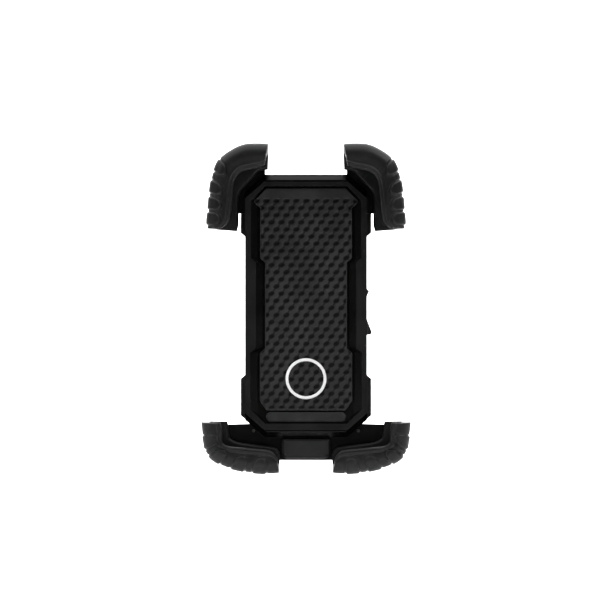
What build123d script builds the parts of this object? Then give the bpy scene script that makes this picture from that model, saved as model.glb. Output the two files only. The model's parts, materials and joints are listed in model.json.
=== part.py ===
from build123d import *
import os
from math import acos, cos, pi, radians, sin, tan

# Phone mount for a handlebar. Millimetres. X runs along the handlebar, Z is up and the screen faces -Y.
# The origin is the centre of the handlebar bore. The cradle's centre is level with it.

# Handlebar clamp
BAR_R = 11.1
LINER = 2.0
SEAT_R = BAR_R + LINER
HOOK_R = 18.0
CLAMP_W = 24.0
CLAMP_EDGE_R = 0.8
HOOK_START = 40.0
HOOK_END = 200.0
JAW_ARC = 45.0
WALL_FRONT = -20.0
WALL_BACK = -13.6
JAW_GAP = 0.4
JAW_REAR = 9.6
JAW_TOP = -8.5
JAW_BOTTOM = -27.6
JAW_CORNER_R = 1.5
TONGUE_W = 8.0
TONGUE_DEEP = 4.0
SLIDE_GAP = 0.3
BRIDGE_TOP = -38.0
BRIDGE_BOTTOM = -44.0
SCREW_R = 3.0
SCREW_TIP = -21.6
SCREW_FOOT = -52.6
RUN_FIT = 0.05
NUT_R = 4.6
NUT_TOP = -19.6
CLIP_R = 5.4
CLIP_THICK = 1.0
CLIP_GAP = 0.2
KNOB_R = 13.0
KNOB_TOP = -44.6
KNOB_BOTTOM = -58.0
KNOB_LOBES = 6
KNOB_FLUTE_R = 4.0
KNOB_HUB = 2.0
KNOB_EDGE_R = 1.2

# Ball joint
BALL_R = 8.5
BALL_Y = -34.0
SEAT_THICK = 1.0
SEAT_GAP = 0.1
SOCKET_BORE_R = BALL_R + SEAT_THICK + 2 * SEAT_GAP
SOCKET_R = 12.5
SOCKET_REAR = -32.0
FLANGE_R = 19.0
FLANGE_THICK = 2.5
COLLAR_R = 16.0
COLLAR_FRONT = -42.6
COLLAR_REAR = -28.0
COLLAR_BEVEL = 1.2
COLLAR_RIBS = 18
COLLAR_RIB_X = 16.4
COLLAR_RIB_R = 1.1
DOME_EDGE = 1.6
RING_FRONT = 1.2
RING_REAR = 5.2
NECK_R = 4.0
STUD_HEX = 6.2
STUD_HEX_LONG = 2.5
SHANK_R = 3.0
SHANK_DEEP = 5.2

# Cradle housing, from the rear face to the front rim
HALF_W = 27.4
END_HALF_W = 29.5
HALF_H = 59.1
CUT_X = 18.5
CUT_SLOPE = 0.865
WAIST_Z = 33.0
WAIST_STEP = 1.8
COVER_BACK = -46.0
COVER_FLOOR = -48.4
COVER_FRONT = -54.8
FRAME_INSIDE = -58.2
PAD_FLOOR = -59.6
SLOPE_FOOT = -60.2
PAD_FRONT = -61.2
RIM_FRONT = -62.5
WALL = 2.2
COVER_BEVEL = 1.2
WALL_END_Z = 31.0
EDGE_SLOPE = 2.4
PIN_SEAT = 0.7
POST_X = 22.9
POST_Z = 29.0
POST_R = 2.2
POST_HOLE_R = 1.2
SCREW_HEAD_R = 2.2
SCREW_HEAD = 1.4
CROSS_LONG = 2.4
CROSS_W = 0.5
CROSS_DEEP = 0.6
STRIP_FRONT = -61.9
STRIP_HALF = 18.0
STRIP_EDGE_R = 0.8
STRIP_TOP = -47.9
STRIP_BOTTOM = -52.2
BADGE_R = 9.2
BADGE_LINE = 1.3
BADGE_Z = -32.8
BADGE_THICK = 0.25
GROOVE_Z = 56.1
GROOVE_W = 0.5
GROOVE_DEEP = 0.6
SOCKET_SCREW_X = 10.9
SOCKET_SCREW_TIP = -43.9
LOW_HEAD = 1.0
SCREW_SHORT = 0.6

# Jaws: one plate layer between the two housing shells
PLATE_FRONT = -57.9
PLATE_BACK = -55.1
PLATE_HALF_W = 20.5
PLATE_IN_Z = 16.0
CLAW_BACK = -53.5
CLAW_FLOOR = -59.4
LIP_INSIDE = -73.4
LIP_FRONT = -77.0
CLAW_ROUND = 1.6
JAW_TRAVEL = 14.0
TAB_HALF = 11.0
TAB_TOP = -59.8
TAB_BOTTOM = -68.8
TAB_THICK = 3.0
TAB_EDGE_R = 1.3
RIVET_X = 23.6
RIVET_Z = -56.4
RIVET_R = 0.7
RIVET_HEAD = 0.9

# Rack and pinion
MODULE = 1.0
TEETH = 12
PRESSURE = 20.0
RACK_ADD = 0.7
PINION_ADD = 0.8
TOOTH_ROOT = 1.1
BACKLASH = 0.16
RACK_BACK_W = 3.6
GEAR_FRONT = -54.6
GEAR_BACK = -50.6
RACK_FAR = 19.6
RACK_FOOT = 34.0
AXLE_R = 2.0
BOSS_R = 3.6

# Springs
SPRING_X = 14.4
SPRING_Y = -51.7
SPRING_R = 1.9
WIRE_R = 0.4
SPRING_TURNS = 36
PEG_R = 1.0
PEG_OVER = 1.4
EYE_GAP = 0.05
PEG_FIXED_Z = 17.0
PEG_JAW_Z = 20.5

# Side lock
LEVER_X = 24.5
LEVER_Z = -2.4
LEVER_FRONT = -57.4
LEVER_BACK = -51.4
LEVER_PIN_R = 1.2
LOCK_ANGLE = 11.0
RATCHET_IN_X = 17.2
RATCHET_OUT_X = 20.2
RATCHET_PITCH = 2.0
RATCHET_DEEP = 1.3
RATCHET_TOP = 8.0
RATCHET_FOOT = -32.0
PAWL_Z = -11.0
PAWL_FRONT = -54.4
SLOT_IN_X = 21.2
SLOT_LOW = -14.8
SLOT_HIGH = 9.8


def save(part, name):
    """Write one node."""
    part.label = name
    export_step(part, f"parts/{name}.step")


def outline(corners):
    """A face from corners (x, z, radius), each rounded by its radius."""
    shape = make_face(Polyline(*[(x, z) for x, z, _ in corners], close=True))
    for x, z, radius in corners:
        if radius:
            shape = fillet(shape.vertices().sort_by_distance((x, z))[0], radius)
    return shape


def slab(face, front, back):
    """A face of the XZ plane, thickened between two depths."""
    return extrude(Plane.XZ.offset(-back) * face, back - front)


def rod(x, z, radius, front, back):
    """A round bar along Y."""
    return slab(Pos(x, z) * Circle(radius), front, back)


def box(x0, x1, y0, y1, z0, z1):
    """A block between two corners."""
    centre = Pos((x0 + x1) / 2, (y0 + y1) / 2, (z0 + z1) / 2)
    return centre * Box(x1 - x0, y1 - y0, z1 - z0)


def column(radius, bottom, top):
    """A round bar along Z on the clamp screw's axis."""
    return extrude(Plane.XY.offset(bottom) * Circle(radius), top - bottom)


def both_sides(half):
    """Right-hand corners (x, z, radius), from the top down, mirrored into a closed outline."""
    return half + [(-x, z, radius) for x, z, radius in reversed(half)]


def flip(part):
    """The left-hand twin of a right-hand piece."""
    return mirror(part, about=Plane.YZ)


def sector(inner, outer, start, end):
    """A ring sector in the YZ plane, angles from +Y towards +Z."""
    def at(radius, angle):
        return (radius * cos(radians(angle)), radius * sin(radians(angle)))
    middle = (start + end) / 2
    edges = [
        ThreePointArc(at(outer, start), at(outer, middle), at(outer, end)),
        Line(at(outer, end), at(inner, end)),
        ThreePointArc(at(inner, end), at(inner, middle), at(inner, start)),
        Line(at(inner, start), at(outer, start)),
    ]
    return make_face(edges)


def across_bar(face, width):
    """A face of the YZ plane, thickened along the handlebar."""
    return extrude(Plane.YZ.offset(-width / 2) * face, width)


# Handlebar clamp

def clamp_body():
    wall = Pos((WALL_FRONT + WALL_BACK) / 2, (HOOK_R / 2 + BRIDGE_BOTTOM) / 2)
    wall = wall * Rectangle(WALL_BACK - WALL_FRONT, HOOK_R / 2 - BRIDGE_BOTTOM)
    bridge = Pos((WALL_FRONT + JAW_REAR) / 2, (BRIDGE_TOP + BRIDGE_BOTTOM) / 2)
    bridge = bridge * Rectangle(JAW_REAR - WALL_FRONT, BRIDGE_TOP - BRIDGE_BOTTOM)
    profile = sector(SEAT_R, HOOK_R, HOOK_START, HOOK_END) + wall + bridge - Circle(SEAT_R)
    body = across_bar(profile, CLAMP_W)
    ends = body.faces().sort_by(Axis.X)
    straight = ends[0].edges().filter_by(GeomType.LINE) + ends[-1].edges().filter_by(GeomType.LINE)
    body = fillet(straight, CLAMP_EDGE_R)
    groove_half = TONGUE_W / 2 + SLIDE_GAP
    groove_front = WALL_BACK - TONGUE_DEEP
    body -= box(-groove_half, groove_half, groove_front, WALL_BACK, BRIDGE_TOP, JAW_TOP + SLIDE_GAP)
    body -= column(SCREW_R + RUN_FIT, BRIDGE_BOTTOM, BRIDGE_TOP)
    body -= rod(0, 0, SHANK_R, WALL_FRONT, WALL_FRONT + SHANK_DEEP)
    return body


def clamp_jaw():
    front = WALL_BACK + JAW_GAP
    block = Pos((front + JAW_REAR) / 2, (JAW_TOP + JAW_BOTTOM) / 2)
    block = block * Rectangle(JAW_REAR - front, JAW_TOP - JAW_BOTTOM)
    jaw = across_bar(block - Circle(SEAT_R), CLAMP_W)
    jaw = fillet(jaw.edges().filter_by(Axis.X).sort_by(Axis.Z)[:2], JAW_CORNER_R)
    tongue_front = WALL_BACK - TONGUE_DEEP + JAW_GAP
    jaw += box(-TONGUE_W / 2, TONGUE_W / 2, tongue_front, front + LINER, JAW_BOTTOM, JAW_TOP - LINER * 2)
    jaw -= column(NUT_R, JAW_BOTTOM, NUT_TOP)
    return jaw - column(SCREW_R + SLIDE_GAP, NUT_TOP, -BAR_R)


def clamp_liner(start, end, width):
    return across_bar(sector(BAR_R, SEAT_R, start, end), width)


def jaw_nut():
    return column(NUT_R, JAW_BOTTOM, NUT_TOP) - column(SCREW_R + RUN_FIT, JAW_BOTTOM, NUT_TOP)


def clamp_screw():
    screw = column(SCREW_R, SCREW_FOOT, SCREW_TIP)
    return chamfer(screw.edges().sort_by(Axis.Z)[-1], SCREW_R / 6)


def screw_clip():
    low = BRIDGE_TOP + CLIP_GAP
    return column(CLIP_R, low, low + CLIP_THICK) - column(SCREW_R, BRIDGE_TOP, SCREW_TIP)


def clamp_knob():
    knob = column(KNOB_R, KNOB_BOTTOM, KNOB_TOP - KNOB_HUB)
    for lobe in range(KNOB_LOBES):
        flute = Rot(0, 0, 360 / KNOB_LOBES * lobe) * Pos(KNOB_R + KNOB_FLUTE_R / 2, 0)
        knob -= extrude(Plane.XY.offset(KNOB_BOTTOM) * flute * Circle(KNOB_FLUTE_R), KNOB_TOP - KNOB_BOTTOM)
    knob = fillet(knob.faces().sort_by(Axis.Z)[0].edges(), KNOB_EDGE_R)
    knob += column(KNOB_R / 2, KNOB_TOP - 2 * KNOB_HUB, KNOB_TOP)
    return knob - column(SCREW_R, SCREW_FOOT, KNOB_TOP)


# Ball joint

def ball_stud():
    stud = Pos(0, BALL_Y, 0) * Sphere(BALL_R)
    stud += rod(0, 0, NECK_R, BALL_Y + BALL_R / 2, WALL_FRONT)
    stud += slab(RegularPolygon(STUD_HEX, 6), WALL_FRONT - STUD_HEX_LONG, WALL_FRONT)
    return stud + rod(0, 0, SHANK_R, WALL_FRONT, WALL_FRONT + SHANK_DEEP)


def seat_shell(front, rear):
    """A spherical shell around the ball, cut by two planes square to Y."""
    inner = BALL_R + SEAT_GAP
    shell = Sphere(inner + SEAT_THICK) - Sphere(inner)
    reach = 2 * BALL_R
    return Pos(0, BALL_Y, 0) * (shell & box(-reach, reach, front, rear, -reach, reach))


def ball_socket():
    socket = rod(0, 0, SOCKET_R, COVER_BACK, SOCKET_REAR)
    socket += rod(0, 0, FLANGE_R, COVER_BACK, COVER_BACK + FLANGE_THICK)
    socket -= Pos(0, BALL_Y, 0) * Sphere(SOCKET_BORE_R)
    socket -= rod(0, 0, SOCKET_BORE_R, BALL_Y, SOCKET_REAR)
    for x in (-SOCKET_SCREW_X, SOCKET_SCREW_X):
        for z in (-SOCKET_SCREW_X, SOCKET_SCREW_X):
            socket -= rod(x, z, POST_HOLE_R, COVER_BACK, SOCKET_SCREW_TIP)
    return socket


def locking_collar():
    collar = rod(0, 0, COLLAR_R, COLLAR_FRONT, COLLAR_REAR)
    collar = chamfer(collar.edges(), COLLAR_BEVEL)
    for rib in range(COLLAR_RIBS):
        angle = radians(360 / COLLAR_RIBS * rib)
        x, z = COLLAR_RIB_X * cos(angle), COLLAR_RIB_X * sin(angle)
        collar -= rod(x, z, COLLAR_RIB_R, COLLAR_FRONT, COLLAR_REAR - 2 * COLLAR_BEVEL)
    collar -= rod(0, 0, SOCKET_R + RUN_FIT, COLLAR_FRONT, SOCKET_REAR + SLIDE_GAP)
    return collar - Pos(0, BALL_Y, 0) * Sphere(SOCKET_BORE_R)


# Cradle housing

def cut_z(half_w):
    """Height at which the corner cut meets a side at half_w."""
    return HALF_H - (half_w - CUT_X) * CUT_SLOPE


def frame_outline():
    side = [(CUT_X, HALF_H, 0), (HALF_W, cut_z(HALF_W), 0)]
    return outline(both_sides(side + [(x, -z, r) for x, z, r in reversed(side)]))


def cover_outline(inset):
    side = [
        (CUT_X - inset / 3, HALF_H - inset, 0),
        (END_HALF_W - inset, cut_z(END_HALF_W) - inset / 3, 0),
        (END_HALF_W - inset, WAIST_Z + inset / 3, 0),
        (HALF_W - inset, WAIST_Z - WAIST_STEP + inset / 3, 0),
    ]
    return outline(both_sides(side + [(x, -z, r) for x, z, r in reversed(side)]))


def rim_opening():
    return outline(both_sides([
        (18.4, 53.7, 0), (25.1, 46.9, 0), (25.1, 21.6, 0), (22.8, 19.6, 0),
        (22.8, -19.2, 0), (25.4, -21.2, 0), (25.4, -46.2, 0), (18.4, -53.0, 0),
    ]))


def slope_foot():
    return outline(both_sides([
        (18.1, 53.4, 0), (21.4, 49.4, 0), (21.4, 21.0, 0), (19.0, 19.0, 0),
        (19.0, -18.6, 0), (21.5, -20.6, 0), (21.5, -48.6, 0), (18.2, -52.7, 0),
    ]))


def pad_outline():
    return outline(both_sides([
        (18.0, 53.1, 0.6), (23.8, 46.8, 0.5), (20.8, 44.0, 0), (20.8, 21.4, 0.4), (18.5, 19.6, 0.4),
        (18.5, -19.2, 0.4), (20.9, -21.2, 0.4), (20.9, -42.9, 0.6), (17.9, -47.3, 0.6),
    ]))


def posts(radius, front, back):
    """The same rod at each of the four housing screws."""
    return [rod(x, z, radius, front, back) for x in (-POST_X, POST_X) for z in (-POST_Z, POST_Z)]


def lever_slot():
    front, back = LEVER_FRONT - SLIDE_GAP, LEVER_BACK + SLIDE_GAP
    return box(SLOT_IN_X, HALF_W + WALL, front, back, SLOT_LOW, SLOT_HIGH)


def front_frame():
    frame = slab(frame_outline(), RIM_FRONT, FRAME_INSIDE)
    rim = frame.faces().sort_by(Axis.Y)[0].edges()
    ends = rim.filter_by(lambda edge: abs(edge.center().Z) > WAIST_Z)
    frame = chamfer(ends, EDGE_SLOPE)
    mouth = Plane.XZ.offset(-RIM_FRONT) * rim_opening()
    foot = Plane.XZ.offset(-SLOPE_FOOT) * slope_foot()
    frame -= loft([mouth, foot], ruled=True)
    frame -= slab(pad_outline(), RIM_FRONT, PAD_FLOOR)
    for z in (-GROOVE_Z, GROOVE_Z):
        frame -= box(-CUT_X, CUT_X, RIM_FRONT, RIM_FRONT + GROOVE_DEEP, z - GROOVE_W / 2, z + GROOVE_W / 2)
    for x in (-HALF_W + WALL / 2, HALF_W - WALL / 2):
        frame += box(x - WALL / 2, x + WALL / 2, FRAME_INSIDE, COVER_FRONT, -WALL_END_Z, WALL_END_Z)
    for post in posts(POST_R, FRAME_INSIDE, COVER_FLOOR):
        frame += post
    for hole in posts(POST_HOLE_R, FRAME_INSIDE, COVER_FLOOR):
        frame -= hole
    frame -= rod(0, 0, AXLE_R, FRAME_INSIDE - PIN_SEAT, FRAME_INSIDE)
    frame -= rod(LEVER_X, LEVER_Z, LEVER_PIN_R, FRAME_INSIDE - PIN_SEAT, LEVER_FRONT)
    return frame - lever_slot()


def grip_pad():
    pad = slab(pad_outline(), PAD_FRONT, PAD_FLOOR)
    return pad - badge_ring()


def badge_ring():
    face = Pos(0, BADGE_Z) * (Circle(BADGE_R) - Circle(BADGE_R - BADGE_LINE))
    return slab(face, PAD_FRONT, PAD_FRONT + BADGE_THICK)


def bottom_strip():
    half_z = (STRIP_TOP - STRIP_BOTTOM) / 2
    face = Pos(0, (STRIP_TOP + STRIP_BOTTOM) / 2) * SlotOverall(STRIP_HALF * 2, half_z * 2)
    strip = slab(face, STRIP_FRONT, SLOPE_FOOT)
    return fillet(strip.faces().sort_by(Axis.Y)[0].edges(), STRIP_EDGE_R)


def back_cover():
    cover = slab(cover_outline(0), COVER_FRONT, COVER_BACK)
    cover = chamfer(cover.faces().sort_by(Axis.Y)[-1].edges(), COVER_BEVEL)
    cover -= slab(cover_outline(WALL), COVER_FRONT, COVER_FLOOR)
    cover += rod(0, 0, BOSS_R, GEAR_BACK + SLIDE_GAP, COVER_FLOOR)
    cover += rod(LEVER_X, LEVER_Z, POST_R, LEVER_BACK + SLIDE_GAP, COVER_FLOOR)
    cover += rod(-SPRING_X, -PEG_FIXED_Z, PEG_R, SPRING_Y - PEG_OVER, COVER_FLOOR)
    cover += rod(SPRING_X, PEG_FIXED_Z, PEG_R, SPRING_Y - PEG_OVER, COVER_FLOOR)
    cover -= rod(0, 0, AXLE_R, GEAR_BACK, COVER_FLOOR + PIN_SEAT)
    cover -= rod(LEVER_X, LEVER_Z, LEVER_PIN_R, LEVER_BACK, COVER_FLOOR + PIN_SEAT)
    for hole in posts(POST_HOLE_R, COVER_FLOOR, COVER_BACK):
        cover -= hole
    for recess in posts(SCREW_HEAD_R, COVER_BACK - SCREW_HEAD, COVER_BACK):
        cover -= recess
    for x in (-SOCKET_SCREW_X, SOCKET_SCREW_X):
        for z in (-SOCKET_SCREW_X, SOCKET_SCREW_X):
            cover -= rod(x, z, POST_HOLE_R, COVER_FLOOR, COVER_BACK)
    return cover - lever_slot()


def pan_screw(x, z, head_front, head_back, tip):
    """A small screw along Y, with a crossed recess in its head."""
    head_rear = tip < head_front
    screw = rod(x, z, SCREW_HEAD_R, head_front, head_back)
    screw += rod(x, z, POST_HOLE_R, min(tip, head_front), max(tip, head_back))
    recess_from = head_back - CROSS_DEEP if head_rear else head_front
    recess_to = recess_from + CROSS_DEEP
    for wide, tall in ((CROSS_LONG, CROSS_W), (CROSS_W, CROSS_LONG)):
        screw -= box(x - wide / 2, x + wide / 2, recess_from, recess_to, z - tall / 2, z + tall / 2)
    return screw


def housing_screws():
    places = [(x, z) for x in (-POST_X, POST_X) for z in (-POST_Z, POST_Z)]
    tip = FRAME_INSIDE + SCREW_SHORT
    return Compound([pan_screw(x, z, COVER_BACK - SCREW_HEAD, COVER_BACK, tip) for x, z in places])


def socket_screws():
    reach = (-SOCKET_SCREW_X, SOCKET_SCREW_X)
    head = COVER_FLOOR - LOW_HEAD
    return Compound([pan_screw(x, z, head, COVER_FLOOR, SOCKET_SCREW_TIP) for x in reach for z in reach])


# Jaws

def upper_plate():
    face = outline(both_sides([
        (18.4, 58.6, 0), (18.4, 70.6, 1), (28.5, 70.6, 6), (37.6, 62.8, 5), (41.4, 53.0, 6),
        (42.4, 35.0, 2), (31.8, 35.0, 1), (31.8, 41.6, 0), (PLATE_HALF_W, 41.6, 1), (PLATE_HALF_W, PLATE_IN_Z, 1),
    ]))
    plate = slab(face, PLATE_FRONT, PLATE_BACK)
    return plate + rod(-SPRING_X, PEG_JAW_Z, PEG_R, PLATE_BACK, SPRING_Y + PEG_OVER)


def lower_plate():
    face = outline(both_sides([
        (PLATE_HALF_W, -PLATE_IN_Z, 1), (PLATE_HALF_W, -53.2, 0), (44.6, -53.8, 1), (43.0, -65.0, 4),
        (35.0, -70.2, 6), (22.0, -72.8, 3), (14.0, -72.8, 1), (12.0, -69.6, 0),
    ]))
    plate = slab(face, PLATE_FRONT, PLATE_BACK)
    return plate + rod(SPRING_X, -PEG_JAW_Z, PEG_R, PLATE_BACK, SPRING_Y + PEG_OVER)


def claw(rim, pocket, lip_edge, plate):
    """A soft boot: a floor around the plate's arm, an outer wall, and a lip over the phone's corner."""
    boot = slab(outline(rim), LIP_FRONT, CLAW_BACK)
    boot = fillet(boot.faces().sort_by(Axis.Y)[0].edges(), CLAW_ROUND)
    boot -= slab(outline(pocket), LIP_INSIDE, CLAW_FLOOR)
    boot -= slab(outline(lip_edge), LIP_FRONT, LIP_INSIDE)
    return boot - plate


def upper_claw():
    rim = [
        (16.3, 60.6, 1), (16.6, 72.9, 1.8), (29.0, 72.9, 8), (39.8, 66.2, 8), (43.2, 54.0, 12),
        (44.9, 32.9, 2.5), (30.4, 32.9, 1.8), (30.4, 50.6, 2), (20.6, 60.6, 1.8),
    ]
    pocket = [(14, 68.6, 0), (28.0, 68.6, 6), (36.2, 63.4, 6), (39.4, 53.4, 9), (40.9, 30, 0), (14, 30, 0)]
    lip_edge = [(14, 61.4, 0), (32.0, 59.4, 6), (33.9, 34.4, 4), (48, 31.8, 0), (48, 28, 0), (14, 28, 0)]
    return claw(rim, pocket, lip_edge, upper_plate())


def lower_claw():
    rim = [
        (34.6, -52.6, 1.8), (47.8, -52.2, 2.2), (45.2, -66.4, 5), (36.5, -72.4, 12), (22.0, -75.3, 10),
        (11.7, -75.3, 3), (11.3, -64.0, 3), (34.6, -61.2, 1.8),
    ]
    pocket = [(43.4, -50, 0), (41.6, -64.4, 4), (34.8, -68.8, 9), (22.0, -71.4, 8), (8, -71.4, 0), (8, -50, 0)]
    lip_edge = [(37.4, -50, 0), (37.2, -62.4, 1.5), (14.5, -64.2, 4), (6, -70, 0), (6, -50, 0)]
    return claw(rim, pocket, lip_edge, lower_plate())


def pull_tab():
    face = outline(both_sides([(TAB_HALF, TAB_TOP, TAB_EDGE_R), (TAB_HALF, TAB_BOTTOM, 2 * TAB_EDGE_R)]))
    tab = slab(face, PLATE_FRONT - TAB_THICK, PLATE_FRONT)
    return fillet(tab.faces().sort_by(Axis.Y)[0].edges(), TAB_EDGE_R)


def jaw_rivets():
    head = PLATE_FRONT - RIVET_HEAD
    return Compound([rod(x, RIVET_Z, RIVET_R, head, PLATE_FRONT) for x in (-RIVET_X, RIVET_X)])


# Rack and pinion

def rack_profile(low, high):
    """A rack with its pitch line at the pinion's right, a tooth gap centred on z = 0."""
    pitch_x = MODULE * TEETH / 2
    step = pi * MODULE
    root_x = pitch_x + TOOTH_ROOT
    bar = make_face(Polyline(
        (root_x, low), (root_x + RACK_BACK_W, low), (root_x + RACK_BACK_W, high), (root_x, high), close=True,
    ))
    slope = tan(radians(PRESSURE))
    tip = step / 4 - BACKLASH / 2 - RACK_ADD * slope
    root = step / 4 - BACKLASH / 2 + TOOTH_ROOT * slope
    count = int(max(abs(low), abs(high)) / step) + 1
    for tooth in range(-count, count):
        z = (tooth + 0.5) * step
        if low < z - root and z + root < high:
            bar += make_face(Polyline(
                (root_x, z - root), (pitch_x - RACK_ADD, z - tip),
                (pitch_x - RACK_ADD, z + tip), (root_x, z + root), close=True,
            ))
    return bar


def lower_rack():
    rack = slab(rack_profile(-RACK_FOOT, RACK_FAR), GEAR_FRONT, GEAR_BACK)
    x = MODULE * TEETH / 2 + TOOTH_ROOT
    return rack + box(x, x + RACK_BACK_W, PLATE_BACK, GEAR_FRONT, -RACK_FOOT, -PLATE_IN_Z - 2)


def upper_rack():
    return Rot(0, 180, 0) * lower_rack()


def involute(radius, base):
    """Angle swept by the involute of the base circle out to a radius."""
    roll = acos(base / radius)
    return tan(roll) - roll


def pinion():
    pitch = MODULE * TEETH / 2
    base = pitch * cos(radians(PRESSURE))
    tip = pitch + PINION_ADD
    root = pitch - TOOTH_ROOT
    half = pi / (2 * TEETH) - BACKLASH / (2 * pitch) + involute(pitch, base)
    radii = [base + (tip - base) * step / 4 for step in range(5)]
    flank = [(root, half)] + [(r, half - involute(r, base)) for r in radii]
    gear = Circle(root + 0.01)
    for tooth in range(TEETH):
        turn = 2 * pi * tooth / TEETH
        rim = [(r, turn - a) for r, a in flank] + [(r, turn + a) for r, a in reversed(flank)]
        gear += make_face(Polyline(*[(r * cos(a), r * sin(a)) for r, a in rim], close=True))
    return slab(gear - Circle(AXLE_R + RUN_FIT), GEAR_FRONT, GEAR_BACK)


def pinion_axle():
    return rod(0, 0, AXLE_R, FRAME_INSIDE - PIN_SEAT, COVER_FLOOR + PIN_SEAT)


# Springs

def spring(x, low, high):
    """A close-wound extension spring between two pegs: a tube with a groove between turns and an eye at each end."""
    eye = PEG_R + EYE_GAP + WIRE_R
    start, end = low + eye, high - eye
    turn = (end - start) / SPRING_TURNS
    tube = Pos(0, 0, (start + end) / 2) * Cylinder(SPRING_R + WIRE_R, end - start)
    groove = Cylinder(SPRING_R + 2 * WIRE_R, turn / 3) - Cylinder(SPRING_R, turn / 3)
    for count in range(SPRING_TURNS + 1):
        tube -= Pos(0, 0, start + count * turn) * groove
    tube -= Pos(0, 0, (start + end) / 2) * Cylinder(SPRING_R - WIRE_R, end - start)
    ring = Rot(90, 0, 0) * (Cylinder(eye + WIRE_R, 2 * WIRE_R) - Cylinder(PEG_R + EYE_GAP, 2 * WIRE_R))
    for z, inward in ((low, 1), (high, -1)):
        tube += Pos(0, 0, z + inward * (eye + WIRE_R / 2)) * Box(2 * SPRING_R, 2 * WIRE_R, 2 * WIRE_R)
        tube += Pos(0, 0, z) * ring
    return Pos(x, SPRING_Y, 0) * tube


# Side lock

def ratchet_bar():
    low, high = RATCHET_FOOT, RATCHET_TOP
    bar = make_face(Polyline(
        (RATCHET_IN_X, low), (RATCHET_OUT_X, low), (RATCHET_OUT_X, high), (RATCHET_IN_X, high), close=True,
    ))
    for notch in range(-1, int(JAW_TRAVEL / RATCHET_PITCH) + 2):
        z = PAWL_Z + notch * RATCHET_PITCH
        mouth = RATCHET_PITCH * 0.45
        bar -= make_face(Polyline(
            (RATCHET_OUT_X - RATCHET_DEEP, z), (RATCHET_OUT_X, z - mouth), (RATCHET_OUT_X, z + mouth), close=True,
        ))
    return slab(bar, PLATE_BACK, GEAR_BACK)


def lever_pivot():
    return Axis((LEVER_X, 0, LEVER_Z), (0, 1, 0))


def lock_lever():
    face = outline([
        (23.0, 8.0, 1.0), (26.8, 8.2, 0.5), (28.6, 6.6, 0.8), (26.9, 3.0, 3), (26.9, -4.4, 5),
        (29.7, -11.8, 0.5), (29.2, -13.1, 0.4), (24.4, -13.1, 1.0), (22.6, -9.0, 1.0), (22.6, 4.0, 1.0),
    ])
    lever = slab(face, LEVER_FRONT, LEVER_BACK)
    return lever - rod(LEVER_X, LEVER_Z, LEVER_PIN_R + RUN_FIT, LEVER_FRONT, LEVER_BACK) - lock_pawl()


def lock_pawl():
    """Its nose is drawn in the locked notch, then turned back to the open position."""
    nose_x = RATCHET_OUT_X - RATCHET_DEEP + SLIDE_GAP
    face = make_face(Polyline(
        (nose_x, PAWL_Z), (RATCHET_OUT_X + 0.4, PAWL_Z + 0.8), (24.4, PAWL_Z + 1.6),
        (24.4, PAWL_Z - 1.4), (RATCHET_OUT_X + 0.4, PAWL_Z - 0.8), close=True,
    ))
    return slab(face, PAWL_FRONT, LEVER_BACK).rotate(lever_pivot(), -LOCK_ANGLE)


def lever_pin():
    return rod(LEVER_X, LEVER_Z, LEVER_PIN_R, FRAME_INSIDE - PIN_SEAT, COVER_FLOOR + PIN_SEAT)


def lever_spring():
    """A bent leaf that presses on the lever's upper end."""
    leaf = outline([
        (21.4, -3.0, 0), (21.8, -3.0, 0), (21.8, 6.2, 0.3), (22.6, 7.4, 0), (22.6, 8.2, 0), (21.4, 6.6, 0.6),
    ])
    return slab(leaf, PAWL_FRONT, COVER_FLOOR)


def build():
    os.makedirs("parts", exist_ok=True)
    nodes = {
        "clamp_body": clamp_body(),
        "clamp_jaw": clamp_jaw(),
        "clamp_liner_upper": clamp_liner(HOOK_START, HOOK_END, CLAMP_W),
        "clamp_liner_lower": clamp_liner(270 - JAW_ARC, 270 + JAW_ARC, CLAMP_W),
        "jaw_nut": jaw_nut(),
        "clamp_screw": clamp_screw(),
        "screw_clip": screw_clip(),
        "clamp_knob": clamp_knob(),
        "ball_stud": ball_stud(),
        "seat_dome": seat_shell(-BALL_R * 2, -DOME_EDGE),
        "seat_ring": seat_shell(RING_FRONT, RING_REAR),
        "ball_socket": ball_socket(),
        "socket_screws": socket_screws(),
        "locking_collar": locking_collar(),
        "front_frame": front_frame(),
        "grip_pad": grip_pad(),
        "badge_ring": badge_ring(),
        "bottom_strip": bottom_strip(),
        "back_cover": back_cover(),
        "housing_screws": housing_screws(),
        "upper_jaw_plate": upper_plate(),
        "lower_jaw_plate": lower_plate(),
        "upper_right_claw": upper_claw(),
        "upper_left_claw": flip(upper_claw()),
        "lower_right_claw": lower_claw(),
        "lower_left_claw": flip(lower_claw()),
        "pull_tab": pull_tab(),
        "jaw_rivets": jaw_rivets(),
        "upper_rack": upper_rack(),
        "lower_rack": lower_rack(),
        "pinion": pinion(),
        "pinion_axle": pinion_axle(),
        "upper_jaw_spring": spring(-SPRING_X, -PEG_FIXED_Z, PEG_JAW_Z),
        "lower_jaw_spring": spring(SPRING_X, -PEG_JAW_Z, PEG_FIXED_Z),
        "ratchet_bar": ratchet_bar(),
        "lock_lever": lock_lever(),
        "lock_pawl": lock_pawl(),
        "lever_pin": lever_pin(),
        "lever_spring": lever_spring(),
    }
    for name, part in nodes.items():
        save(part, name)


build()
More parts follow.
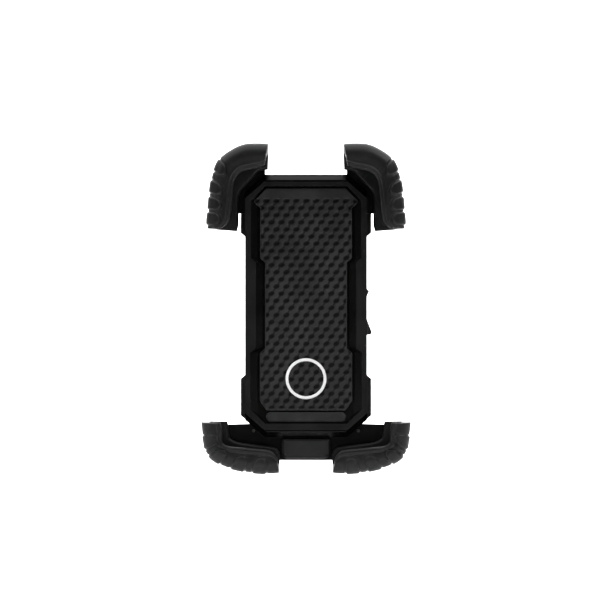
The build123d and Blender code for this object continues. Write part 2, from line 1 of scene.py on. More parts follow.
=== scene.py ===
import json
import math
import bpy
import bmesh
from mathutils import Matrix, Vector


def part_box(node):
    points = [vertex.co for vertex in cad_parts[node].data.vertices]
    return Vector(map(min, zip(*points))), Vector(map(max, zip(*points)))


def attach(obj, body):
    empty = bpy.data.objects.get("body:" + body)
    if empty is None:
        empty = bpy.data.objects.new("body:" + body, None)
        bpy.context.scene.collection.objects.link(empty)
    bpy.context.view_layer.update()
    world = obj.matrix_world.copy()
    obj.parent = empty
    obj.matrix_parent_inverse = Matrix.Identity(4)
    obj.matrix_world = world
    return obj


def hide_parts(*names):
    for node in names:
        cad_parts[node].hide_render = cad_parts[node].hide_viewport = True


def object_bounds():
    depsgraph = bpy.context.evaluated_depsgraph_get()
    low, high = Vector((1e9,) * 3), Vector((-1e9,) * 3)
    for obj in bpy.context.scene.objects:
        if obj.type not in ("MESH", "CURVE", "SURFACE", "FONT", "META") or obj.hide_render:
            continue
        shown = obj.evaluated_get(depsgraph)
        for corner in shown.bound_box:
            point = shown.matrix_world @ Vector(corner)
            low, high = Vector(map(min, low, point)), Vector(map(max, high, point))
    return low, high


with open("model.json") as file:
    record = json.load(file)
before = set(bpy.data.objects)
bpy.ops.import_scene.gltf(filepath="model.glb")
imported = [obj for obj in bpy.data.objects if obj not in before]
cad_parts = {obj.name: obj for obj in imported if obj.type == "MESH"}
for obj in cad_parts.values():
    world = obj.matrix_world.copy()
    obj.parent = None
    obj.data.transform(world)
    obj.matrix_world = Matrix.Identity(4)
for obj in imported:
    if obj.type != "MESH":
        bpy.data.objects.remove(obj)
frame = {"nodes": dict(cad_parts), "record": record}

CAD_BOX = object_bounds()
MM = 0.001
NODES = frame["nodes"]
SLOTS = {row["node"]: row["material_slot"] for row in frame["record"]["subparts"]}

# Corner claws, right-hand side, in the cradle's XZ plane. Each station gives, in millimetres, the outer
# wall, the wall's inner face, the lip's inner edge and the floor's inner edge.
UPPER_STATIONS = [
    ((16.8, 72.4), (17.0, 68.6), (18.6, 62.6), (17.2, 61.4)),
    ((21.0, 72.7), (21.0, 68.7), (20.6, 61.6), (18.8, 61.2)),
    ((27.6, 72.3), (26.2, 68.6), (25.4, 60.6), (21.4, 60.4)),
    ((33.4, 69.8), (31.2, 66.4), (28.8, 59.6), (24.0, 57.6)),
    ((38.6, 65.8), (35.2, 63.2), (31.2, 57.2), (26.8, 54.6)),
    ((41.3, 60.4), (37.6, 58.4), (32.3, 54.2), (29.6, 51.4)),
    ((42.8, 54.2), (39.2, 53.2), (32.8, 49.8), (30.4, 48.4)),
    ((43.5, 48.0), (40.0, 47.6), (33.2, 45.2), (30.4, 44.6)),
    ((44.0, 42.4), (40.4, 42.4), (33.7, 41.0), (30.4, 40.4)),
    ((44.4, 37.6), (40.7, 37.6), (34.8, 37.0), (30.4, 36.6)),
    ((44.1, 34.6), (40.9, 34.8), (37.6, 34.6), (31.2, 33.6)),
]
LOWER_STATIONS = [
    ((46.9, -52.1), (43.1, -52.1), (38.0, -52.2), (35.4, -52.2)),
    ((46.4, -56.6), (42.8, -56.2), (37.4, -55.6), (34.9, -55.2)),
    ((45.8, -60.6), (42.3, -60.0), (37.4, -58.6), (34.7, -57.6)),
    ((44.9, -64.8), (41.2, -63.6), (37.0, -61.0), (34.0, -59.8)),
    ((42.2, -68.5), (38.6, -66.6), (34.8, -62.5), (31.6, -61.2)),
    ((37.4, -71.3), (35.0, -68.5), (31.4, -62.9), (28.6, -61.9)),
    ((31.6, -73.2), (30.4, -69.9), (27.4, -63.2), (24.6, -62.4)),
    ((25.4, -74.4), (25.0, -70.9), (22.8, -63.6), (20.4, -62.9)),
    ((19.6, -74.9), (19.6, -71.4), (18.4, -64.0), (16.6, -63.4)),
    ((14.8, -74.9), (14.8, -71.4), (15.2, -64.9), (13.4, -64.2)),
    ((12.0, -74.6), (12.0, -71.4), (12.9, -67.6), (11.8, -66.0)),
]
STATION_STEPS = 30

# Depths along Y of the claws' section, and the radii and insets of its edges, in millimetres.
CLAW_BACK = -53.6
CLAW_FLOOR = -59.4
LIP_INSIDE = -73.4
LIP_FRONT = -76.56
CLAW_EDGE = 5.0
EDGE_SHARE = 0.6
BACK_EDGE = 1.6
FLOOR_TIP = 1.3
INNER_R = 0.6
LIP_TIP = 1.5
LIP_HOLLOW = 0.55
LIP_BEAD = 0.55
BEAD_INSET = 0.4
BEAD_WIDTH = 0.55
CREST_GAP = 0.05
WALL_GAP = 0.1
LEAST_REACH = 1.0

# Points along each stretch of the claws' section.
TIP_STEPS = 7
BACK_STEPS = 8
WALL_STEPS = 40
EDGE_STEPS = 14
LIP_STEPS = 24
LIP_TURN_STEPS = 12
LIP_UNDER_STEPS = 7
CORNER_STEPS = 4
INSIDE_STEPS = 12
FLOOR_STEPS = 9

# Raised grip pads along the claws: places along the outer wall, reach over the front edge and half length.
UPPER_RIBS = ([27.0, 37.0, 44.5, 51.5], 5.6, 2.7)
LOWER_RIBS = ([9.0, 18.5, 30.0, 40.0], 7.0, 2.9)
RIB_RISE = 0.35
RIB_CREST = 0.86
RIB_FOOT = 1.04
GROOVE_AT = 1.18
GROOVE_WIDTH = 0.13
GROOVE_SHARE = 1.05
TANGENT_STEP = 0.05
SHORT_OF_END = 0.001

# Small bevels: width in millimetres and the least angle in degrees between the faces that they round.
CAD_BEVEL = (0.4, 25)
CLAW_BEVEL = (0.7, 50)
BEVEL_STEPS = 3
BEVELLED = ("front_frame", "back_cover", "upper_jaw_plate", "lower_jaw_plate", "lock_lever", "clamp_body")

# Grip pad: its edge as (z, half width) from top to bottom, and its weave, in millimetres.
PAD_PROFILE = [
    (53.1, 17.6), (52.7, 18.2), (47.2, 23.4), (46.7, 23.6), (46.2, 23.3), (44.2, 20.9), (43.6, 20.75),
    (21.6, 20.75), (20.8, 20.2), (19.9, 18.9), (19.3, 18.5), (-19.0, 18.5), (-19.6, 18.8), (-20.8, 20.4),
    (-21.5, 20.85), (-42.4, 20.85), (-43.2, 20.6), (-46.7, 18.2), (-47.3, 17.6),
]
PAD_FRONT = -61.2
PAD_BASE = -59.7
PAD_EDGE_R = 0.5
PAD_STEP = 0.3
PAD_GRID_WIDTH = 41.8
WEAVE_PITCH_X = 4.5
WEAVE_PITCH_Z = 3.22
WEAVE_TOP = 48.4
WEAVE_BOTTOM = -46.6
WEAVE_FADE = 0.5
WEAVE_SIDE = (0.25, 0.7)
WEAVE_DEEP = 0.75
WEAVE_TILT = math.radians(28)
WEAVE_SHIFT_X = 0.2
WEAVE_SHIFT_Z = 0.95
POCKET_HALF_LONG = 1.6
POCKET_HALF_TALL = 1.15
POCKET_SLOPE = (0.55, 1.25)
CHANNEL_CORE = 0.15
CHANNEL_HALF = 0.85
CHANNEL_SHARE = 0.62

# Ring on the pad, in millimetres.
RING_LINE = 1.3
RING_LIFT = 0.05
RING_RISE = 0.16
RING_STEPS = 128
RING_SECTION_STEPS = 12

# Materials. Depths are places along Y in metres, between which a recess turns dark with painted shade.
PAD_SHADE_DEPTHS = (-0.0611, -0.06062)
FRAME_SHADE_DEPTHS = (-0.06245, -0.06225)
# Near black of the painted shade in the pad's pockets and on the frame's sunken slopes and grooves.
RECESS_SHADE_COLOUR = (0.002, 0.002, 0.002, 1)
WORN_COLOUR = (0.35, 0.35, 0.36, 1)
WORN_EDGE = (0.52, 0.62)
COAT_ROUGHNESS = 0.12
PLASTIC_MOTTLE = 90.0
MOTTLE_STRENGTH = 0.2
MOTTLE_DEPTH_SHARE = 4
GRAIN_STRENGTH = 0.5
GRAIN_DETAIL = 3.0
GRAIN_ROUGHNESS = 0.6
METAL_MOTTLE = 120.0
STREAK_SCALE = (2600.0, 2600.0, 60.0)
STREAK_DETAIL = 3.0
STREAK_STRENGTH = 0.25
STREAK_DEPTH = 0.00002
NOISE_SPREAD = (0.3, 0.7)
BLEND_SPREAD = (0.35, 0.65)

# Studio, in metres. Each light has its place, its aim, its size and its power in watts.
MOUNT_FRONT = (0, -0.06, 0)
LIGHTS = {
    "overhead": ((0.0, 0.25, 1.1), (0.0, 0.25, 0.0), (3.2, 2.4), 64),
    "backdrop": ((0.0, 0.75, 0.9), (0.0, 1.6, 0.35), (3.0, 0.8), 60),
    "key": ((0.62, -0.55, 0.75), MOUNT_FRONT, (0.5, 0.3), 2),
    "rim": ((-0.75, -0.35, 0.5), MOUNT_FRONT, (0.25, 0.5), 1.2),
}
WORLD_AS_LIGHT = 0.03
WORLD_SEEN = 1.0
FLOOR_DROP = 0.024
SWEEP_R = 0.6
SWEEP_HALF = 2.5
SWEEP_FRONT = -0.5
SWEEP_BACK = 1.6
SWEEP_TOP = 3.5
SWEEP_STEPS = 12
PAPER_MOTTLE = 3.0
PAPER_DARK = (0.90, 0.90, 0.90)
PAPER_LIGHT = (0.93, 0.93, 0.93)
PAPER_ROUGHNESS = 0.9
CAMERA_DISTANCE = 1.4
CAMERA_X = -0.0027
CAMERA_Z = 0.0026
CAMERA_LENS = 186.7
CAMERA_SENSOR = 36.0


def smooth(edge0, edge1, value):
    """0 below edge0, 1 above edge1 and a smooth step between them."""
    t = min(1.0, max(0.0, (value - edge0) / (edge1 - edge0)))
    return t * t * (3 - 2 * t)


def catmull(points, t):
    """A point on the Catmull-Rom curve through points, at parameter t in stations."""
    i = min(int(t), len(points) - 2)
    u = t - i
    p0, p1 = points[max(i - 1, 0)], points[i]
    p2, p3 = points[i + 1], points[min(i + 2, len(points) - 1)]
    return tuple(
        0.5 * (2 * b + (c - a) * u + (2 * a - 5 * b + 4 * c - d) * u * u + (3 * b - a - 3 * c + d) * u ** 3)
        for a, b, c, d in zip(p0, p1, p2, p3)
    )


def mesh_object(name, verts, faces):
    """A smooth-shaded object in the scene, with its normals pointing outward."""
    mesh = bpy.data.meshes.new(name)
    mesh.from_pydata(verts, [], faces)
    mesh.validate()
    bm = bmesh.new()
    bm.from_mesh(mesh)
    bmesh.ops.recalc_face_normals(bm, faces=bm.faces)
    bm.to_mesh(mesh)
    bm.free()
    obj = bpy.data.objects.new(name, mesh)
    bpy.context.scene.collection.objects.link(obj)
    mesh.polygons.foreach_set("use_smooth", [True] * len(mesh.polygons))
    return obj


def add_bevel(obj, name, shape):
    """Rounds an object's sharp edges, with shape as (width in millimetres, least angle in degrees)."""
    width, angle = shape
    bevel = obj.modifiers.new(name, "BEVEL")
    bevel.width = width * MM
    bevel.segments = BEVEL_STEPS
    bevel.limit_method = "ANGLE"
    bevel.angle_limit = math.radians(angle)


# Materials

def material(name):
    """A new material, its node tree and its shader."""
    mat = bpy.data.materials.new(name)
    mat.use_nodes = True
    return mat, mat.node_tree, mat.node_tree.nodes["Principled BSDF"]


def noise_node(tree, scale, detail=4.0, rough=0.5):
    """Noise in the object's own space."""
    coords = tree.nodes.new("ShaderNodeTexCoord")
    noise = tree.nodes.new("ShaderNodeTexNoise")
    noise.inputs["Scale"].default_value = scale
    noise.inputs["Detail"].default_value = detail
    noise.inputs["Roughness"].default_value = rough
    tree.links.new(coords.outputs["Object"], noise.inputs["Vector"])
    return noise.outputs["Fac"]


def ranged(tree, value, low, high):
    """A noise value spread between low and high."""
    node = tree.nodes.new("ShaderNodeMapRange")
    node.inputs["From Min"].default_value = NOISE_SPREAD[0]
    node.inputs["From Max"].default_value = NOISE_SPREAD[1]
    node.inputs["To Min"].default_value = low
    node.inputs["To Max"].default_value = high
    tree.links.new(value, node.inputs["Value"])
    return node.outputs["Result"]


def blended(tree, value, dark, light):
    """A noise value turned into a colour between dark and light."""
    ramp = tree.nodes.new("ShaderNodeValToRGB")
    ramp.color_ramp.elements[0].position = BLEND_SPREAD[0]
    ramp.color_ramp.elements[1].position = BLEND_SPREAD[1]
    ramp.color_ramp.elements[0].color = (*dark, 1)
    ramp.color_ramp.elements[1].color = (*light, 1)
    tree.links.new(value, ramp.inputs["Fac"])
    return ramp.outputs["Color"]


def bump(tree, shader, layers):
    """Stacks bump layers (height, strength, distance in metres)."""
    normal = None
    for height, strength, distance in layers:
        node = tree.nodes.new("ShaderNodeBump")
        node.inputs["Strength"].default_value = strength
        node.inputs["Distance"].default_value = distance
        tree.links.new(height, node.inputs["Height"])
        if normal is not None:
            tree.links.new(normal, node.inputs["Normal"])
        normal = node.outputs["Normal"]
    tree.links.new(normal, shader.inputs["Normal"])


def mixed(tree, share, colour, other):
    """A colour turned into another, fixed one by a share."""
    mix = tree.nodes.new("ShaderNodeMix")
    mix.data_type = "RGBA"
    mix.inputs["B"].default_value = other
    tree.links.new(share, mix.inputs["Factor"])
    tree.links.new(colour, mix.inputs["A"])
    return mix.outputs["Result"]


def moulded(name, dark, light, rough, grain, coat=0.0, worn=0.04, shine=0.2):
    """Moulded plastic or rubber: mottled colour, uneven gloss, a grain (scale, depth) and worn edges."""
    mat, tree, shader = material(name)
    grain_scale, grain_depth = grain
    mottle = noise_node(tree, PLASTIC_MOTTLE)
    speckle = noise_node(tree, grain_scale, GRAIN_DETAIL, GRAIN_ROUGHNESS)
    geometry = tree.nodes.new("ShaderNodeNewGeometry")
    edge = tree.nodes.new("ShaderNodeMapRange")
    edge.inputs["From Min"].default_value = WORN_EDGE[0]
    edge.inputs["From Max"].default_value = WORN_EDGE[1]
    edge.inputs["To Max"].default_value = worn
    tree.links.new(geometry.outputs["Pointiness"], edge.inputs["Value"])
    colour = mixed(tree, edge.outputs["Result"], blended(tree, mottle, dark, light), WORN_COLOUR)
    tree.links.new(colour, shader.inputs["Base Color"])
    tree.links.new(ranged(tree, mottle, rough[0], rough[1]), shader.inputs["Roughness"])
    shader.inputs["Specular IOR Level"].default_value = shine
    shader.inputs["Coat Weight"].default_value = coat
    shader.inputs["Coat Roughness"].default_value = COAT_ROUGHNESS
    bump(tree, shader, [
        (speckle, GRAIN_STRENGTH, grain_depth),
        (mottle, MOTTLE_STRENGTH, grain_depth * MOTTLE_DEPTH_SHARE),
    ])
    return mat


def paint_recess_shade(mat, depths):
    """Painted shade: turns the colour near black with depth below the surface, between two places along Y in
    metres.
    """
    tree = mat.node_tree
    shader = tree.nodes["Principled BSDF"]
    colour = shader.inputs["Base Color"].links[0].from_socket
    coords = tree.nodes.new("ShaderNodeTexCoord")
    split = tree.nodes.new("ShaderNodeSeparateXYZ")
    tree.links.new(coords.outputs["Object"], split.inputs["Vector"])
    depth = tree.nodes.new("ShaderNodeMapRange")
    depth.inputs["From Min"].default_value = depths[0]
    depth.inputs["From Max"].default_value = depths[1]
    tree.links.new(split.outputs["Y"], depth.inputs["Value"])
    tree.links.new(mixed(tree, depth.outputs["Result"], colour, RECESS_SHADE_COLOUR), shader.inputs["Base Color"])


def metal(name, dark, light, rough):
    """Turned or drawn metal with fine streaks along Z."""
    mat, tree, shader = material(name)
    coords = tree.nodes.new("ShaderNodeTexCoord")
    stretch = tree.nodes.new("ShaderNodeMapping")
    stretch.inputs["Scale"].default_value = STREAK_SCALE
    streaks = tree.nodes.new("ShaderNodeTexNoise")
    streaks.inputs["Scale"].default_value = 1.0
    streaks.inputs["Detail"].default_value = STREAK_DETAIL
    tree.links.new(coords.outputs["Object"], stretch.inputs["Vector"])
    tree.links.new(stretch.outputs["Vector"], streaks.inputs["Vector"])
    mottle = noise_node(tree, METAL_MOTTLE)
    tree.links.new(blended(tree, mottle, dark, light), shader.inputs["Base Color"])
    tree.links.new(ranged(tree, streaks.outputs["Fac"], rough[0], rough[1]), shader.inputs["Roughness"])
    shader.inputs["Metallic"].default_value = 1.0
    bump(tree, shader, [(streaks.outputs["Fac"], STREAK_STRENGTH, STREAK_DEPTH)])
    return mat


def gloss_shell():
    mat = moulded("gloss_shell", (0.010, 0.010, 0.0102), (0.0135, 0.0135, 0.0138), (0.18, 0.26),
                  (1500, 0.00001), worn=0.01, shine=0.12)
    # Painted shade: the frame's slopes and grooves behind its front flats turn near black.
    paint_recess_shade(mat, FRAME_SHADE_DEPTHS)
    return mat


def satin_shell():
    return moulded("satin_shell", (0.002, 0.002, 0.0022), (0.0035, 0.0035, 0.004), (0.34, 0.46),
                   (2600, 0.00004), worn=0.03)


def jaw_plastic():
    # Black plastic made darker than the other plastics: partly the plates' own black, partly painted shade
    # where they lie behind the claws and the body.
    return moulded("jaw_plastic", (0.0010, 0.0010, 0.0011), (0.0018, 0.0018, 0.002), (0.3, 0.44),
                   (2600, 0.00003), worn=0.01, shine=0.08)


def claw_rubber():
    return moulded("claw_rubber", (0.0085, 0.0085, 0.009), (0.012, 0.012, 0.0125), (0.36, 0.46),
                   (3200, 0.00003), worn=0.02)


def pad_rubber():
    mat = moulded("pad_rubber", (0.022, 0.022, 0.0225), (0.031, 0.031, 0.0315), (0.42, 0.55),
                  (3600, 0.00003), worn=0.02, shine=0.12)
    # Painted shade: the weave's pockets and channels turn near black.
    paint_recess_shade(mat, PAD_SHADE_DEPTHS)
    return mat


def badge_white():
    return moulded("badge_white", (0.80, 0.80, 0.80), (0.9, 0.9, 0.9), (0.4, 0.5),
                   (3000, 0.00002), worn=0.0)


def tab_plastic():
    return moulded("tab_plastic", (0.009, 0.009, 0.0095), (0.012, 0.012, 0.0125), (0.4, 0.5),
                   (2600, 0.00004), worn=0.03, shine=0.12)


def lever_plastic():
    return moulded("lever_plastic", (0.008, 0.008, 0.009), (0.014, 0.014, 0.015), (0.3, 0.45),
                   (2600, 0.00004))


def knob_plastic():
    return moulded("knob_plastic", (0.012, 0.012, 0.013), (0.022, 0.022, 0.023), (0.45, 0.6),
                   (1800, 0.00008))


def clamp_alloy():
    return moulded("clamp_alloy", (0.012, 0.012, 0.013), (0.020, 0.020, 0.021), (0.32, 0.44),
                   (5200, 0.00005), coat=0.1)


def liner_rubber():
    return moulded("liner_rubber", (0.026, 0.026, 0.026), (0.038, 0.038, 0.038), (0.6, 0.75),
                   (2200, 0.00008))


def liner_nylon():
    return moulded("liner_nylon", (0.52, 0.52, 0.48), (0.60, 0.60, 0.56), (0.35, 0.5),
                   (2000, 0.00003), worn=0.0)


def steel():
    return metal("steel", (0.50, 0.50, 0.51), (0.62, 0.62, 0.62), (0.22, 0.38))


def black_steel():
    return metal("black_steel", (0.03, 0.03, 0.032), (0.05, 0.05, 0.05), (0.3, 0.45))


def brass():
    return metal("brass", (0.62, 0.44, 0.18), (0.74, 0.56, 0.26), (0.22, 0.36))


MATERIALS = {
    make.__name__: make()
    for make in (
        gloss_shell, satin_shell, jaw_plastic, claw_rubber, pad_rubber, badge_white, tab_plastic,
        lever_plastic, knob_plastic, clamp_alloy, liner_rubber, liner_nylon, steel, black_steel, brass,
    )
}


def dress(obj, slot):
    """Gives an object the one material of its slot."""
    obj.data.materials.clear()
    obj.data.materials.append(MATERIALS[slot])


def dress_cad():
    """Dresses every CAD piece by its slot, and softens the edges of the larger ones."""
    for node, obj in NODES.items():
        dress(obj, SLOTS[node])
    for node in BEVELLED:
        add_bevel(NODES[node], "edge", CAD_BEVEL)


# Corner claws

def between(a, b, share):
    """The point at a share of the way from a to b."""
    return (a[0] + (b[0] - a[0]) * share, a[1] + (b[1] - a[1]) * share)


def quarter(steps):
    """Sine and cosine along a quarter turn."""
    return [(math.sin(math.pi / 2 * i / steps), math.cos(math.pi / 2 * i / steps)) for i in range(steps + 1)]


def straight(start, end, steps):
    """Points between start and end, both left out."""
    return [start + (end - start) * i / steps for i in range(1, steps)]


def claw_section(outer, wall, lip, floor):
    """One station's C-shaped section as (x, z, depth, rib weight), from the floor's inner edge round."""
    floor_long = max(math.dist(outer, floor), LEAST_REACH)
    wall_long = max(math.dist(outer, wall), LEAST_REACH)
    lip_long = max(math.dist(outer, lip), LEAST_REACH)
    edge = min(CLAW_EDGE, lip_long * EDGE_SHARE)
    crest = max(lip_long - LIP_TIP, edge + CREST_GAP)
    points = []

    def add(target, reach, inset, depth, weight=0.0):
        points.append((*between(outer, target, inset / reach), depth, weight))

    for rise, fall in quarter(TIP_STEPS):
        add(floor, floor_long, floor_long - FLOOR_TIP * (1 - rise), CLAW_FLOOR + FLOOR_TIP * (1 - fall))
    for rise, fall in quarter(TIP_STEPS)[1:]:
        add(floor, floor_long, floor_long - FLOOR_TIP * (1 - fall), CLAW_BACK - FLOOR_TIP * (1 - rise))
    for inset in straight(floor_long - FLOOR_TIP, BACK_EDGE, BACK_STEPS):
        add(floor, floor_long, inset, CLAW_BACK)
    for rise, fall in quarter(BACK_STEPS):
        add(floor, floor_long, BACK_EDGE * (1 - rise), CLAW_BACK - BACK_EDGE * (1 - fall), rise)
    for depth in straight(CLAW_BACK - BACK_EDGE, LIP_FRONT + CLAW_EDGE, WALL_STEPS):
        add(lip, lip_long, 0.0, depth, 1.0)
    for rise, fall in quarter(EDGE_STEPS):
        add(lip, lip_long, edge * (1 - fall), LIP_FRONT + CLAW_EDGE * (1 - rise), 1.0)
    for inset in straight(edge, crest, LIP_STEPS):
        hollow = LIP_HOLLOW * smooth(edge, crest, inset)
        bead = LIP_BEAD * math.exp(-((crest - BEAD_INSET - inset) / BEAD_WIDTH) ** 2)
        add(lip, lip_long, inset, LIP_FRONT + hollow - bead, 1.0)
    middle = (LIP_FRONT + LIP_HOLLOW + LIP_INSIDE) / 2
    half = (LIP_INSIDE - LIP_FRONT - LIP_HOLLOW) / 2
    for step in range(LIP_TURN_STEPS + 1):
        angle = math.pi * step / LIP_TURN_STEPS
        add(lip, lip_long, crest + (lip_long - crest) * math.sin(angle), middle - half * math.cos(angle))
    wall_inset = min(wall_long, crest - WALL_GAP)
    for inset in straight(crest, wall_inset + INNER_R, LIP_UNDER_STEPS):
        add(lip, lip_long, inset, LIP_INSIDE)
    for rise, fall in quarter(CORNER_STEPS):
        add(wall, wall_long, wall_inset + INNER_R * (1 - rise), LIP_INSIDE + INNER_R * (1 - fall))
    for depth in straight(LIP_INSIDE + INNER_R, CLAW_FLOOR - INNER_R, INSIDE_STEPS):
        add(wall, wall_long, wall_inset, depth)
    for rise, fall in quarter(CORNER_STEPS):
        add(wall, wall_long, wall_inset + INNER_R * (1 - fall), CLAW_FLOOR - INNER_R * (1 - rise))
    for inset in straight(wall_inset + INNER_R, floor_long - FLOOR_TIP, FLOOR_STEPS):
        add(floor, floor_long, inset, CLAW_FLOOR)
    return points


def rib_height(along_path, over_front, ribs, arch, half_long):
    """Raised grip pads with arched ends that wrap over the front edge, each ringed by a fine groove."""
    pad, groove = 0.0, 0.0
    for middle in ribs:
        across = (along_path - middle) / half_long
        over = max(0.0, over_front - arch + half_long) / half_long
        distance = math.hypot(across, over)
        pad = max(pad, 1.0 - smooth(RIB_CREST, RIB_FOOT, distance))
        groove = max(groove, math.exp(-((distance - GROOVE_AT) / GROOVE_WIDTH) ** 2))
    return pad - GROOVE_SHARE * groove * (1 - pad)


def outward(outer_line, floor_line, t):
    """The outer wall's normal at parameter t, pointing away from the phone."""
    ahead = catmull(outer_line, min(t + TANGENT_STEP, len(outer_line) - 1 - SHORT_OF_END))
    behind = catmull(outer_line, max(t - TANGENT_STEP, 0.0))
    tangent = Vector((ahead[0] - behind[0], ahead[1] - behind[1])).normalized()
    normal = Vector((-tangent.y, tangent.x))
    inward = Vector(catmull(floor_line, t)) - Vector(catmull(outer_line, t))
    return -normal if normal.dot(inward) > 0 else normal


def claw_mesh(name, stations, ribs, side):
    """A boot swept through its stations, with grip pads raised along its outer wall."""
    lines = list(zip(*stations))
    count = (len(stations) - 1) * STATION_STEPS + 1
    verts = []
    run = 0.0
    previous = stations[0][0]
    for row in range(count):
        t = row / STATION_STEPS
        outer, wall, lip, floor = [catmull(line, t) for line in lines]
        normal = outward(lines[0], lines[3], t)
        run += math.dist(previous, outer)
        previous = outer
        for x, z, depth, weight in claw_section(outer, wall, lip, floor):
            if weight > 0:
                over_front = math.dist((x, z), outer) if depth < LIP_FRONT + CLAW_EDGE else 0.0
                rise = RIB_RISE * weight * rib_height(run, over_front, *ribs)
                front_share = min(1.0, over_front / CLAW_EDGE)
                x += normal.x * rise * (1 - front_share)
                z += normal.y * rise * (1 - front_share)
                depth -= rise * front_share
            verts.append((side * x * MM, depth * MM, z * MM))
    size = len(verts) // count
    faces = [
        (row * size + k, row * size + (k + 1) % size, (row + 1) * size + (k + 1) % size, (row + 1) * size + k)
        for row in range(count - 1) for k in range(size)
    ]
    faces.append(tuple(range(size)))
    faces.append(tuple(range((count - 1) * size, count * size)))
    obj = mesh_object(name, verts, faces)
    add_bevel(obj, "soft_ends", CLAW_BEVEL)
    dress(obj, "claw_rubber")
    return obj


def add_claws():
    """The four rubber boots, each riding on its jaw."""
    for side, word in ((1, "right"), (-1, "left")):
        upper = claw_mesh(f"upper_{word}_boot", UPPER_STATIONS, UPPER_RIBS, side)
        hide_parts(f"upper_{word}_claw")
        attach(upper, "upper_jaw")
        lower = claw_mesh(f"lower_{word}_boot", LOWER_STATIONS, LOWER_RIBS, side)
        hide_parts(f"lower_{word}_claw")
        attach(lower, "lower_jaw")


# Grip pad

def pad_half_width(z):
    """The pad's half width at a height."""
    for (z0, w0), (z1, w1) in zip(PAD_PROFILE, PAD_PROFILE[1:]):
        if z1 <= z <= z0:
            return w0 + (w1 - w0) * (z0 - z) / (z0 - z1)
    return PAD_PROFILE[-1][1]


def weave_height(x, z):
    """0 on the strands' crowns, negative in the slanted pockets and the channels that link them."""
    z += WEAVE_SHIFT_Z
    x -= WEAVE_SHIFT_X
    row = round(z / WEAVE_PITCH_Z)
    nearest = WEAVE_PITCH_X
    for near in (row - 1, row, row + 1):
        shift = 0.0 if near % 2 else WEAVE_PITCH_X / 2
        dx = (x - shift + WEAVE_PITCH_X / 2) % WEAVE_PITCH_X - WEAVE_PITCH_X / 2
        dz = z - near * WEAVE_PITCH_Z
        along = dx * math.cos(WEAVE_TILT) + dz * math.sin(WEAVE_TILT)
        across = dz * math.cos(WEAVE_TILT) - dx * math.sin(WEAVE_TILT)
        nearest = min(nearest, math.hypot(along / POCKET_HALF_LONG, across / POCKET_HALF_TALL))
    pocket = 1 - smooth(*POCKET_SLOPE, nearest)
    skew = x - z * WEAVE_PITCH_X / 2 / WEAVE_PITCH_Z - WEAVE_PITCH_X / 2
    from_channel = abs((skew + WEAVE_PITCH_X / 2) % WEAVE_PITCH_X - WEAVE_PITCH_X / 2)
    channel = CHANNEL_SHARE * (1 - smooth(CHANNEL_CORE, CHANNEL_HALF, from_channel))
    return -WEAVE_DEEP * max(pocket, channel)


def pad_depth(x, z, half_width):
    """The pad's surface along Y: rounded at its edge, woven inside a plain margin."""
    from_side = half_width - abs(x)
    edge = min(from_side, PAD_PROFILE[0][0] - z, z - PAD_PROFILE[-1][0])
    drop = 0.0
    if edge < PAD_EDGE_R:
        drop = PAD_EDGE_R - math.sqrt(max(0.0, PAD_EDGE_R ** 2 - max(0.0, PAD_EDGE_R - edge) ** 2))
    inside = smooth(0.0, WEAVE_FADE, WEAVE_TOP - z) * smooth(0.0, WEAVE_FADE, z - WEAVE_BOTTOM)
    return PAD_FRONT + drop - inside * smooth(*WEAVE_SIDE, from_side) * weave_height(x, z)


def add_pad():
    """The woven pad: a grid for its front, closed by side walls and a flat back."""
    top, bottom = PAD_PROFILE[0][0], PAD_PROFILE[-1][0]
    rows = int((top - bottom) / PAD_STEP)
    columns = int(PAD_GRID_WIDTH / PAD_STEP)
    verts = []
    for row in range(rows + 1):
        z = top + (bottom - top) * row / rows
        half = pad_half_width(z)
        for column in range(columns + 1):
            x = half * (2 * column / columns - 1)
            verts.append((x * MM, pad_depth(x, z, half) * MM, z * MM))
    stride = columns + 1
    faces = [
        (r * stride + c, r * stride + c + 1, (r + 1) * stride + c + 1, (r + 1) * stride + c)
        for r in range(rows) for c in range(columns)
    ]
    rim = list(range(stride))
    rim += [r * stride + columns for r in range(1, rows + 1)]
    rim += [rows * stride + c for c in range(columns - 1, -1, -1)]
    rim += [r * stride for r in range(rows - 1, 0, -1)]
    base = len(verts)
    verts += [(verts[i][0], PAD_BASE * MM, verts[i][2]) for i in rim]
    faces += [
        (rim[i], rim[(i + 1) % len(rim)], base + (i + 1) % len(rim), base + i) for i in range(len(rim))
    ]
    faces.append(tuple(range(base, base + len(rim))))
    pad = mesh_object("woven_pad", verts, faces)
    dress(pad, "pad_rubber")
    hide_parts("grip_pad")
    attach(pad, "cradle")


def squared(value):
    """Pushes a sine or cosine outward, so that a circle turns into a rounded square."""
    return math.copysign(abs(value) ** 0.5, value)


def add_badge():
    """A plain flat ring with rounded edges, printed thick on the weave."""
    low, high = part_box("badge_ring")
    centre = (low + high) / 2
    outer = (high.x - low.x) / 2
    line = RING_LINE * MM
    verts = []
    for step in range(RING_STEPS):
        angle = 2 * math.pi * step / RING_STEPS
        for k in range(RING_SECTION_STEPS):
            turn = 2 * math.pi * k / RING_SECTION_STEPS
            radius = outer - line / 2 + squared(math.cos(turn)) * line / 2
            depth = PAD_FRONT * MM + RING_LIFT * MM + squared(math.sin(turn)) * RING_RISE * MM
            verts.append((centre.x + radius * math.cos(angle), depth, centre.z + radius * math.sin(angle)))
    faces = []
    for step in range(RING_STEPS):
        here, there = step * RING_SECTION_STEPS, (step + 1) % RING_STEPS * RING_SECTION_STEPS
        for k in range(RING_SECTION_STEPS):
            after = (k + 1) % RING_SECTION_STEPS
            faces.append((here + k, here + after, there + after, there + k))
    ring = mesh_object("printed_ring", verts, faces)
    dress(ring, "badge_white")
    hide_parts("badge_ring")
    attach(ring, "cradle")


# Studio

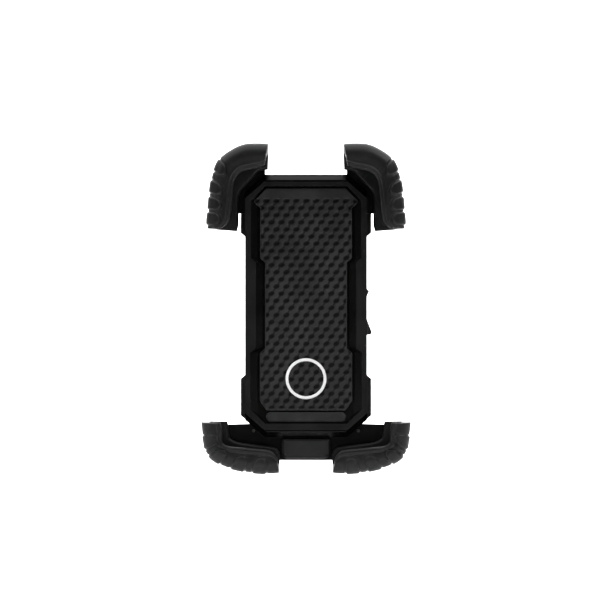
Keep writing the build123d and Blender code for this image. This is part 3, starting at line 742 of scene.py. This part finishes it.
def add_floor(low):
    """A pale sweep: floor, a wide curve and a wall behind, in one sheet."""
    line = [(SWEEP_FRONT, 0.0), (SWEEP_BACK - SWEEP_R, 0.0)]
    for step in range(1, SWEEP_STEPS + 1):
        angle = math.pi / 2 * step / SWEEP_STEPS
        line.append((SWEEP_BACK - SWEEP_R + SWEEP_R * math.sin(angle), SWEEP_R - SWEEP_R * math.cos(angle)))
    line.append((SWEEP_BACK, SWEEP_TOP))
    verts = [(x, y, low + z) for y, z in line for x in (-SWEEP_HALF, SWEEP_HALF)]
    faces = [(2 * i, 2 * i + 1, 2 * i + 3, 2 * i + 2) for i in range(len(line) - 1)]
    floor = mesh_object("sweep", verts, faces)
    mat, tree, shader = material("paper")
    colour = blended(tree, noise_node(tree, PAPER_MOTTLE), PAPER_DARK, PAPER_LIGHT)
    tree.links.new(colour, shader.inputs["Base Color"])
    shader.inputs["Roughness"].default_value = PAPER_ROUGHNESS
    floor.data.materials.append(mat)


def add_light(name, place, aim, size, power):
    """A soft rectangular light at a place, turned towards its aim."""
    data = bpy.data.lights.new(name, "AREA")
    data.shape = "RECTANGLE"
    data.size, data.size_y = size
    data.energy = power
    obj = bpy.data.objects.new(name, data)
    obj.location = place
    obj.rotation_mode = "QUATERNION"
    obj.rotation_quaternion = (Vector(aim) - Vector(place)).to_track_quat("-Z", "Y")
    bpy.context.scene.collection.objects.link(obj)


def add_world():
    """A white world that is bright to look at and dim as a light."""
    world = bpy.data.worlds.new("studio")
    world.use_nodes = True
    tree = world.node_tree
    background = tree.nodes["Background"]
    background.inputs["Color"].default_value = (1, 1, 1, 1)
    path = tree.nodes.new("ShaderNodeLightPath")
    strength = tree.nodes.new("ShaderNodeMapRange")
    strength.inputs["To Min"].default_value = WORLD_AS_LIGHT
    strength.inputs["To Max"].default_value = WORLD_SEEN
    tree.links.new(path.outputs["Is Camera Ray"], strength.inputs["Value"])
    tree.links.new(strength.outputs["Result"], background.inputs["Strength"])
    bpy.context.scene.world = world


def add_studio():
    """A big soft light overhead, one on the paper behind, and two strips for the edges."""
    add_world()
    for name, setting in LIGHTS.items():
        add_light(name, *setting)
    bpy.context.scene.view_settings.view_transform = "Standard"


def add_camera():
    """A long lens straight in front of the mount."""
    data = bpy.data.cameras.new("camera")
    data.lens = CAMERA_LENS
    data.sensor_width = CAMERA_SENSOR
    cam = bpy.data.objects.new("camera", data)
    cam.location = (CAMERA_X, PAD_FRONT * MM - CAMERA_DISTANCE, CAMERA_Z)
    cam.rotation_euler = (math.pi / 2, 0, 0)
    bpy.context.scene.collection.objects.link(cam)
    bpy.context.scene.camera = cam


dress_cad()
add_camera()
add_studio()
add_floor(CAD_BOX[0].z - FLOOR_DROP)
add_claws()
add_pad()
add_badge()
